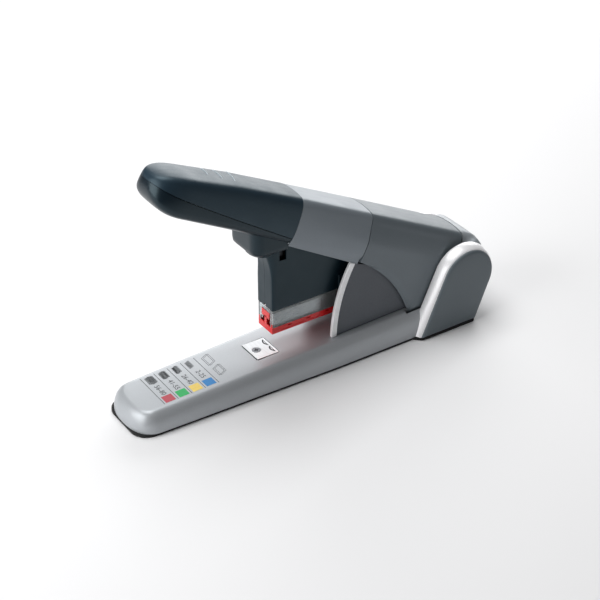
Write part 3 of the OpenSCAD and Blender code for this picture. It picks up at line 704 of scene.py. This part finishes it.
def plan_outline(front, half, radius, back):
    """A plan outline with a rounded front: from the back left corner round to the back right one."""
    points = [Vector((back, half))]
    for k in range(13):
        t = math.radians(90 * k / 12)
        points.append(Vector((front + radius * (1 - math.sin(t)), half - radius * (1 - math.cos(t)))))
    points += [Vector((front, (half - radius) * (1 - k / 4))) for k in range(1, 4)]
    right = [Vector((p.x, -p.y)) for p in reversed(points)]
    return points + [Vector((front, 0))] + right


def collar_ring(front, half, radius, height, rise):
    return [at(p.x, p.y, height(p.x) + rise) for p in plan_outline(front, half, radius, 116)]


def make_collar():
    """The block under the grip that the head slides up into, with a post at its front."""
    def belly(x):
        return (146.6 - x * SIN) / COS

    def rim(x):
        return 98.8 - 0.03 * max(0.0, x - 100)

    def lobe(x):
        return 94.2 + 0.30 * max(0.0, x - 104)

    def slope(x):
        return 0.5 * rim(x) + 0.5 * lobe(x) + 0.6

    skin = 1.5
    # front, half width, corner radius, height along x, and how much higher
    levels = ((91.9, 16.6, 7.5, belly, 0), (92.0, 16.6, 7.5, rim, 4), (92.3, 16.4, 7.5, rim, 1.2),
              (93.2, 15.7, 7.5, rim, 0), (95.0, 13.4, 8.0, slope, 0), (96.8, 10.9, 9.6, lobe, 0.7),
              (97.4, 10.5, 9.6, lobe, 0))
    outer, inner = [], []
    for k, (front, half, radius, height, rise) in enumerate(levels):
        inside = skin * (1 - k / 6)
        up = skin * smooth(k, 1, 3)
        outer.append(collar_ring(front, half, radius, height, rise))
        inner.append(collar_ring(front + inside, half - inside, radius - inside, height, rise + up))
    wall = shell_mesh("collar_wall", outer, inner)
    # front and height of the post's rings
    steps = ((98.4, 105), (96.7, 103), (96.2, 101), (96.2, 95.6), (96.6, 94.2), (97.4, 93.6))
    post = [[at(p.x, p.y, z) for p in plan_outline(x, 10.6, 9.6, 108)] for x, z in steps]
    hollow = [[at(p.x, p.y, z) for p in plan_outline(98.9, 9.7, 9.0, 108)] for x, z in steps]
    mesh = joined_mesh("grip_collar", [wall, shell_mesh("collar_post", post, hollow)])
    piece("grip_collar", mesh, "handle", GLOSS, sharp=50)


# both ends (u, y) of each ridge
RIDGE_LINES = (((-8.9, 11.4), (-11.2, -1.6)), ((-0.2, 11.6), (-2.0, -4.6)), ((12.6, 14.6), (6.8, -5.6)))


def make_ridges():
    """Three thin finger ridges that cross the far half of the grip's top."""
    meshes = []
    bead = ((-0.45, 0.0), (-0.25, 0.8), (0.0, 1.0), (0.25, 0.8), (0.45, 0.0))
    for (u0, y0), (u1, y1) in RIDGE_LINES:
        rings = []
        for k in range(15):
            t = k / 14
            u, y = u0 + (u1 - u0) * t, y0 + (y1 - y0) * t
            crest = height_at(grip_section(u), abs(y))
            rise = 0.42 * math.sin(math.pi * t) ** 0.4 + 0.32
            rings.append([on_handle(u + a, y, crest - 0.3 + rise * b) for a, b in bead])
        meshes.append(loft_mesh("ridge", rings))
    piece("grip_ridges", joined_mesh("grip_ridges", meshes), "handle", RIDGE)


def height_at(section, y):
    """Height of a half section's upper side at a distance y from its middle."""
    for a, b in zip(section, section[1:]):
        if a.x <= y <= b.x:
            return a.y + (b.y - a.y) * (y - a.x) / max(b.x - a.x, 1e-9)
    return section[0].y


def blended(a, b, t):
    """A section between two others, t of the way from a to b."""
    return [Vector(p).lerp(Vector(q), t) for p, q in zip(a, b)]


def shell_rows(stations, section, columns, wall):
    """The outer and inner grids of a shell whose half section at u is section(u)."""
    outer, inner = [], []
    for u in stations:
        line = resample(section(u), columns)
        outer.append(whole(u, line))
        inner.append(whole(u, inset(line, wall)))
    return outer, inner


def mid_section(u):
    t = (u - SEAM_GRIP) / (SEAM_MID - SEAM_GRIP)
    return curve_through(blended(SECTION_GRIP, SECTION_MID, t), 7)


SKIRT_ARC, SKIRT_RADIUS = (114, -14), 103.2     # centre of the skirt's front arc, x and z
SLOT_START, SLOT_LEVEL, DECK_LEVEL = 212, 17.0, 21.9
SKIRT_FOLD = 1.6                    # how far the skirt's edge turns in


def skirt_low(u):
    """Lower edge of the rear shell's skirt: an arc down to the deck, then level behind it."""
    for k in range(400):
        v = 95 + k * 0.15
        x, z = u * COS + v * SIN, v * COS - u * SIN
        outside = math.hypot(x - SKIRT_ARC[0], z - SKIRT_ARC[1]) > SKIRT_RADIUS
        if z > SLOT_LEVEL and (x > SLOT_START or (outside and z > DECK_LEVEL)):
            return v
    return v


def rear_section(u):
    t = (u - SEAM_MID) / (SEAM_TAIL - SEAM_MID)
    low = skirt_low(u)
    line = curve_through(blended(SECTION_REAR, SECTION_TAIL, t), 7)
    line = resample(split_at(line, low)[0], 120)
    fold = 5.5 * smooth(u, SEAM_MID + 4, SEAM_MID + 30)
    return [Vector((p.x - SKIRT_FOLD * (1 - smooth(p.y, low, low + fold + 0.1)), p.y)) for p in line]


def make_mid_and_rear():
    length = SEAM_MID - SEAM_GRIP - 2 * SEAM_GAP
    stations = [SEAM_GRIP + SEAM_GAP + length * k / 24 for k in range(25)]
    mesh = shell_mesh("mid_cover", *shell_rows(stations, mid_section, 44, 1.5))
    piece("mid_cover", mesh, "handle", MID, ["mid_shell"], sharp=45, bevel=0.25)
    length = SEAM_TAIL - SEAM_MID - SEAM_GAP
    stations = [SEAM_MID + SEAM_GAP + length * k / 56 for k in range(57)]
    mesh = shell_mesh("rear_cover", *shell_rows(stations, rear_section, 60, 1.7))
    piece("rear_cover", mesh, "handle", REAR, ["rear_shell"], sharp=45, bevel=0.25)


# ---- housing ----

HUB = (254, 37.5)
HUB_R = 24.0
HOUSING_LOW = 2.0                   # just above the rubber foot


def housing_outline(radius, front, back, low, stop=1.0):
    """The housing's side line from the front foot over the hub to the back foot, or part of it."""
    count = 72

    def touch(x, side):
        dx, dz = HUB[0] - x, HUB[1] - low
        return math.atan2(dz, dx) + side * math.asin(radius / math.hypot(dx, dz)) + side * math.pi / 2

    def on_hub(t):
        return Vector((HUB[0] + radius * math.cos(t), HUB[1] + radius * math.sin(t)))

    first, last = touch(front, 1), touch(back, -1)
    rise = [Vector((front, low)).lerp(on_hub(first), k / 8) for k in range(9)]
    arc = [on_hub(first + (last - first) * k / count) for k in range(1, count)]
    fall = [on_hub(last).lerp(Vector((back, low)), k / 8) for k in range(9)]
    points = rise + arc + fall
    return points[:int(stop * len(points))]


def make_cheek(side, name):
    """A slightly domed outer plate. side is 1 on the left, -1 on the right."""
    # distance across, and how far the outline has drawn in
    levels = ((24.0, 0.0), (31.4, 0.0), (32.2, 0.35), (32.75, 1.1), (33.0, 2.4), (33.15, 5.5), (33.25, 11.0))
    rings = []
    for y, lean in levels:
        low = HOUSING_LOW + 0.5 * lean
        line = housing_outline(HUB_R - 2.9 - lean, 216 + 1.25 * lean, 262.7 - 1.25 * lean, low)
        rings.append([at(p.x, side * y, p.y) for p in line])
    mesh = loft_mesh(name, rings)
    piece(name, mesh, "base", CHEEK, ["cheek_left" if side > 0 else "cheek_right"], sharp=50)


def make_band(side, name):
    """The bright bevelled rim between the handle and the cheek."""
    # distance across, and radius over the hub
    profile = ((22.3, 23.0), (22.9, 23.5), (24.0, 23.8), (27.4, 23.0), (30.4, 21.9), (31.2, 21.3),
               (31.4, 20.4), (24.5, 20.4), (22.3, 21.0))
    rings = []
    for y, radius in profile:
        shift = (HUB_R - radius) * 1.45
        line = housing_outline(radius, 211.8 + shift, 265.0 - shift * 0.9, HOUSING_LOW, 0.86)
        rings.append([at(p.x, side * y, p.y) for p in line])
    columns = [[ring[j] for ring in rings] for j in range(len(rings[0]))]
    mesh = loft_mesh(name, columns)
    piece(name, mesh, "base", TRIM, ["band_left" if side > 0 else "band_right"], sharp=50)


def make_tail():
    """The cover between the cheeks, from the handle's seam down the back."""
    seam = on_handle(SEAM_TAIL + 0.5, 0, 175.8)
    top_x, top_z = (seam.x - NOSE_X) / MM, seam.z / MM
    knots = ((top_x, top_z), (265.8, 62.5), (270.9, 58.4), (274.9, 52.0), (277.0, 45.0), (277.7, 38.5),
             (276.6, 29.5), (271.3, 15.0), (266.4, 4.2))
    line = curve_through(knots, 8)
    section = tail_section()
    outer, inner = [], []
    for i, p in enumerate(line):
        run = (line[min(i + 1, len(line) - 1)] - line[max(i - 1, 0)]).normalized()
        normal = Vector((-run.y, run.x))
        normal = -normal if normal.x + normal.y < 0 else normal
        fade = 1.0 - 0.93 * smooth(p.x if i < 30 else 280, top_x, 271)
        for depth, grid in ((0.0, outer), (SHELL_WALL, inner)):
            row = []
            for k in range(45):
                y = (k / 44 * 2 - 1) * 22.0
                drop = (SECTION_TAIL[0][1] - height_at(section, abs(y))) * fade + depth
                q = p - normal * drop
                row.append(at(q.x, y, q.y))
            grid.append(row)
    mesh = shell_mesh("tail_hood", outer, inner)
    # the hood's lighter grey is painted sheen
    piece("tail_hood", mesh, "base", HOOD_WITH_PAINTED_SHEEN, ["tail_cover"], sharp=50, bevel=0.3)


def tail_section():
    """The hood's half section: the rear shell's, carried on to the hood's full width."""
    return curve_through([p for p in SECTION_TAIL if p[1] > 145], 6) + [Vector((22.4, 150.0))]


def make_housing():
    for side, word in ((1, "left"), (-1, "right")):
        make_cheek(side, "housing_cheek_" + word)
        make_band(side, "housing_band_" + word)
    make_tail()


# ---- head ----

HEAD_FRONT, HEAD_HALF, HEAD_LOW, HEAD_TAIL = 108.8, 9.3, 50.5, 167.0
HEAD_HIGH = 54                      # from the bottom edge to the highest point
HEAD_WALL = 1.5


def head_top(x):
    return along(((105, 103.5), (112, 104.5), (118, 104.5), (126, 98.0), (HEAD_TAIL, 73.5)), x)


def head_outline(front, reach, cut, half):
    """Half of the head's plan: flat front, a corner that cuts back by reach and in by cut, the flat side."""
    flat = [Vector((front, 0.07 + (half - cut - 0.07) * k / 4)) for k in range(4)]
    turn = [math.pi / 2 * k / 8 for k in range(9)]
    corner = [Vector((front + reach * (1 - math.cos(a)), half - cut * (1 - math.sin(a)))) for a in turn]
    side = [Vector((x, half)) for x in (118, 124, 131, 138, 145, 152, 159, HEAD_TAIL)]
    return flat + corner + side


def head_ring(share, wall):
    """One level of a head shell. share runs from 0 at the bottom edge to 1 at the top."""
    height = HEAD_LOW + share * HEAD_HIGH
    front = HEAD_FRONT - 4.6 * smooth(height, 72, 104) ** 1.6
    upper = smooth(height, 70, 98)
    reach, cut = 3.4 + 3.2 * upper, 1.1 + 3.6 * upper
    ring = []
    for p in head_outline(front + wall, reach, cut, HEAD_HALF - wall):
        x = min(p.x, HEAD_TAIL)
        ring.append((x, p.y, HEAD_LOW + share * (head_top(x) - HEAD_LOW)))
    return ring


def make_head_shell(side, name, node):
    """One half of the head. side is 1 on the left, -1 on the right."""
    shares = [k / 26 for k in range(27)]
    outer = [[at(x, side * y, z) for x, y, z in head_ring(s, 0.0)] for s in shares]
    inner = [[at(x, side * y, z) for x, y, z in head_ring(s, HEAD_WALL)] for s in shares]
    mesh = shell_mesh(name, outer, inner)
    pin_slot = block_mesh((114.4, side * 3, 87), (119.6, side * 12, 120))
    notch = disc_mesh(at(106, 0, HEAD_LOW), (1, 0, 0), 1.5 * MM, 6 * MM)
    mesh = carve(mesh, [pin_slot, notch])
    piece(name, mesh, "head", HEAD, [node], sharp=28, bevel=0.3)
    make_latch(side, name.replace("shell", "latch"))


def make_latch(side, name):
    """The thumb tab low down at the head's tail, a plate with a round foot."""
    x0, z0, radius, top = 165.5, 52.5, 5.2, 61
    turn = [math.pi + math.pi * k / 14 for k in range(15)]
    foot = [(x0 + radius * math.cos(t), z0 + radius * math.sin(t)) for t in turn]
    outline = [(x0 - radius, top), *foot, (x0 + radius, top)]
    tab = loft_mesh("tab", [[at(x, side * y, z) for x, z in outline] for y in (9.2, 10.5)])
    piece(name, tab, "head", HEAD, bevel=0.4)


# ---- cartridge ----

CART_FRONT, CART_BACK, CART_HALF, CART_LOW, CART_TOP = 109.0, 193.0, 8.3, 32.0, 50.0
RIM = 4.6                           # height of the red stripe along the sides
TRAY_WALL, TRAY_BACK, WINDOW_WALL = 1.2, 2.2, 1.0


def make_tray():
    """The red tray: its stripe along the sides, plates at the front, the staple channel and the back."""
    body = block_mesh((CART_FRONT, -CART_HALF, CART_LOW), (CART_BACK, CART_HALF, CART_LOW + RIM))
    inside = CART_HALF - TRAY_WALL
    hollow = block_mesh((CART_FRONT + TRAY_WALL, -inside, CART_LOW + TRAY_WALL),
                        (CART_BACK - TRAY_BACK, inside, CART_LOW + 9))
    mouth = block_mesh((CART_FRONT + 0.85, -6.6, CART_LOW - 1), (CART_FRONT + 2.0, 6.6, CART_LOW + 9))
    windows = [block_mesh((x, s * 6.5, CART_LOW + 2.6), (x + 3.4, s * 9, CART_LOW + 3.5))
               for x in (121, 136, 151, 166) for s in (-1, 1)]
    groove = [block_mesh((CART_FRONT + 6, s * 8.05, CART_LOW + 1.35), (CART_BACK - 3, s * 9, CART_LOW + 1.65))
              for s in (-1, 1)]
    mesh = carve(body, [hollow, mouth, *windows, *groove])
    near, far = CART_FRONT + 0.05, CART_FRONT + 0.85    # the thin plates in the cover's open front
    sill = CART_LOW + RIM - 0.05
    edge = CART_HALF - 0.05
    left = block_mesh((near, -edge, sill), (far, -CART_HALF + 1.5, CART_LOW + 7.2))
    right = block_mesh((near, CART_HALF - 1.5, sill), (far, edge, CART_LOW + 7.2))
    stem = block_mesh((near, -1.3, sill), (far, 1.3, CART_LOW + 10.4))
    bar = block_mesh((near, -4.4, CART_LOW + 9.6), (far, 4.4, CART_LOW + 14.6))
    core = block_mesh((113, -5, CART_LOW + 1.1), (CART_BACK - 1.4, 5, CART_LOW + 13.4))
    gutter = block_mesh((112, -3.9, CART_LOW + 2.2), (CART_BACK - 1.2, 3.9, CART_LOW + 20))
    core = carve(core, [gutter])
    tail = block_mesh((CART_BACK - TRAY_BACK, -CART_HALF, CART_LOW), (CART_BACK, CART_HALF, CART_LOW + 15.6))
    mesh = joined_mesh("cartridge_base", [mesh, left, right, stem, bar, core, tail])
    piece("cartridge_base", mesh, "cartridge", RED, ["cartridge_tray"], sharp=30, bevel=0.22)


def make_window():
    """The clear cover, open at the front and slit along its top."""
    low = CART_LOW + RIM + 0.1
    body = block_mesh((CART_FRONT + 0.1, -CART_HALF, low), (CART_BACK - 2.4, CART_HALF, CART_TOP))
    inside = CART_HALF - WINDOW_WALL
    hollow = block_mesh((CART_FRONT + 0.9, -inside, low - 3), (CART_BACK, inside, CART_TOP - 1.2))
    front = block_mesh((CART_FRONT - 1, -5.6, low - 1), (CART_FRONT + 1.5, 5.6, CART_TOP - 3.0))
    slit = block_mesh((CART_FRONT + 0.85, -6.6, low), (CART_FRONT + 2.4, 6.6, CART_TOP + 1))
    groove = block_mesh((115.5, -1.8, CART_TOP - 3), (CART_BACK, 1.8, CART_TOP + 1))
    mesh = carve(body, [hollow, front, slit, groove])
    piece("cartridge_window", mesh, "cartridge", CLEAR, ["cartridge_cover"],
          sharp=30, bevel=0.3)


def make_staples():
    """A stick of separate wire staples."""
    low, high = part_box("staple_stick")
    pitch, thick = 0.78, 0.72
    outside, inside = [staple_line(low, high, wire) for wire in (0.0, 0.8)]
    outline = outside + inside[::-1]
    meshes = []
    for k in range(int((high.x - low.x) / MM / pitch)):
        x0 = low.x + k * pitch * MM
        rings = [[Vector((x0 + d * MM, y * MM, z * MM)) for y, z in outline] for d in (0.0, thick)]
        meshes.append(loft_mesh("staple", rings))
    mesh = joined_mesh("staple_row", meshes)
    piece("staple_row", mesh, "cartridge", STAPLE, ["staple_stick"], sharp=25)


def staple_line(low, high, wire):
    """One side of a staple's wire, wire millimetres in: up a leg, over the crown and down the other leg."""
    half, top, foot = high.y / MM - wire, high.z / MM - wire, low.z / MM
    radius = max(0.9 - wire, 0.12)
    line = [(-half, foot)]
    for side, degrees in ((-1, (180, 150, 120, 90)), (1, (90, 60, 30, 0))):
        for t in degrees:
            a = math.radians(t)
            line.append((side * (half - radius) + radius * math.cos(a), top - radius + radius * math.sin(a)))
    return line + [(half, foot)]


# ---- springs ----

def coil(centre, axis, radius, wire, length, turns, ground=0.9):
    """A compression spring: a helix with its last turns closed up at both ends. Metres."""
    axis = Vector(axis).normalized()
    side = axis.orthogonal().normalized()
    other = axis.cross(side)
    steps = int(turns * 28)
    path = []
    for k in range(steps + 1):
        turn = turns * k / steps
        lift = wire / 2 + (length - wire) * eased(turn, turns, ground, wire / (length - wire))
        t = 2 * math.pi * turn
        path.append(centre + axis * lift + (side * math.cos(t) + other * math.sin(t)) * radius)
    return tube_mesh(path, wire / 2, 10)


def eased(turn, turns, ground, share):
    """Share of the spring's length reached after some turns, with closed end turns."""
    start, stop = share * ground, 1 - share * ground
    if turn < ground:
        return share * turn
    if turn > turns - ground:
        return 1 - share * (turns - turn)
    return start + (stop - start) * (turn - ground) / (turns - 2 * ground)


def make_springs():
    up = (0, 0, 1)
    low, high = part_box("handle_spring")
    centre = Vector(((low.x + high.x) / 2, 0, low.z))
    mesh = coil(centre, up, (high.y - low.y) / 2 - 0.8 * MM, 1.6 * MM, high.z - low.z, 8)
    item = piece("return_coil", mesh, "base", SPRING, ["handle_spring"], sharp=60)
    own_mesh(item)
    low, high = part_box("head_springs")
    for s, word in ((1, "left"), (-1, "right")):
        centre = Vector(((low.x + high.x) / 2, s * POST_Y * MM, low.z))
        mesh = coil(centre, up, 2.55 * MM, 0.7 * MM, high.z - low.z, 12)
        item = piece("head_coil_" + word, mesh, "base", SPRING, ["head_springs"], sharp=60)
        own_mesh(item)
    low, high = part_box("pusher_spring")
    centre = Vector((high.x, 0, (low.z + high.z) / 2))
    mesh = coil(centre, (-1, 0, 0), 3.0 * MM, 0.6 * MM, high.x - low.x, 12)
    item = piece("pusher_coil", mesh, "cartridge", SPRING, ["pusher_spring"], sharp=60)
    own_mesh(item)


# ---- materials and soft edges of the CAD pieces that stay ----

DRESS = {
    "rubber_foot": (RUBBER, 0.4), "base_plate": (ZINC, 0.15), "base_screws": (ZINC, 0.12),
    "cheek_screws": (ZINC, 0.12), "anvil_plate": (ANVIL, 0.25), "anvil_screw": (SCREW, 0.06),
    "guard_left": (GUARD, 0.25), "guard_right": (GUARD, 0.25),
    "guard_trim_left": (TRIM, 0.4), "guard_trim_right": (TRIM, 0.4),
    "chassis_bracket": (ZINC, 0.25), "chassis_screws": (ZINC, 0.2), "pivot_axle": (ZINC, 0.3),
    "axle_clips": (DARK_STEEL, 0.1), "stop_pin": (ZINC, 0.2), "guide_posts": (ZINC_UP, 0.3),
    "lever_channel": (ZINC, 0.25), "pivot_bushes": (NYLON, 0.15), "handle_screws": (ZINC, 0.15),
    "head_carriage": (BLACK, 0.35), "magazine_rail": (ZINC, 0.15), "rail_detent": (SPRING, 0.08),
    "head_screws": (ZINC, 0.15), "driver_blade": (ANVIL, 0.08), "driver_block": (DARK_STEEL, 0.3),
    "driver_pin": (ZINC, 0.25), "cartridge_pusher": (BLACK, 0.2),
}


def dress_cad():
    """Gives the CAD pieces that still show their materials and rounds their edges."""
    for name, (surface, width) in DRESS.items():
        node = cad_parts[name]
        node.data.materials.clear()
        node.data.materials.append(surface)
        weld = node.modifiers.new("weld", "WELD")
        weld.merge_threshold = 1e-6
        soften(node, width)


# ---- floor, light and camera ----

def make_floor():
    bpy.ops.mesh.primitive_plane_add(size=8, location=(0, 0, -0.0002))
    floor = bpy.context.object
    floor.name = "floor"
    floor.data.materials.append(Surface("floor", (234, 234, 235), 0.6).material)


def softbox(name, place, target, size, power):
    lamp = bpy.data.lights.new(name, "AREA")
    lamp.shape = "RECTANGLE"
    lamp.size, lamp.size_y = size
    lamp.energy = power
    item = bpy.data.objects.new(name, lamp)
    bpy.context.scene.collection.objects.link(item)
    item.location = place
    item.rotation_euler = (Vector(target) - Vector(place)).to_track_quat("-Z", "Y").to_euler()


def make_light():
    world = bpy.data.worlds.new("studio")
    bpy.context.scene.world = world
    world.use_nodes = True
    background = world.node_tree.nodes["Background"]
    background.inputs["Color"].default_value = (1, 1, 1, 1)
    background.inputs["Strength"].default_value = 0.14
    softbox("top_light", (-0.05, 0.2, 1.0), (0, 0, 0.05), (0.8, 0.6), 8)
    softbox("nose_light", (-1.0, 0.1, 0.45), (0, 0, 0.06), (0.9, 0.7), 8)
    softbox("far_light", (0.75, 0.95, 0.42), (0, 0, 0.08), (1.2, 0.75), 9.5)
    bpy.context.scene.view_settings.view_transform = "Standard"


def make_camera():
    """The camera stands in front of the nose, to the right of the stapler, and looks down on it."""
    camera = bpy.data.objects.new("camera", bpy.data.cameras.new("camera"))
    bpy.context.scene.collection.objects.link(camera)
    camera.data.sensor_width = 36
    camera.data.lens = 92.26
    camera.location = (-0.479, -0.711, 0.5983)
    back = Vector((-0.4674, -0.6976, 0.5431)).normalized()
    right = Vector((0.8308, -0.5566, 0)).normalized()
    up = back.cross(right)
    camera.rotation_euler = Matrix((right, up, back)).transposed().to_euler()
    bpy.context.scene.camera = camera


make_camera()
make_floor()
make_light()
make_base()
make_chart()
make_grip()
make_mid_and_rear()
make_housing()
make_head_shell(1, "head_shell_port", "head_shell_left")
make_head_shell(-1, "head_shell_starboard", "head_shell_right")
make_tray()
make_window()
make_staples()
make_springs()
dress_cad()
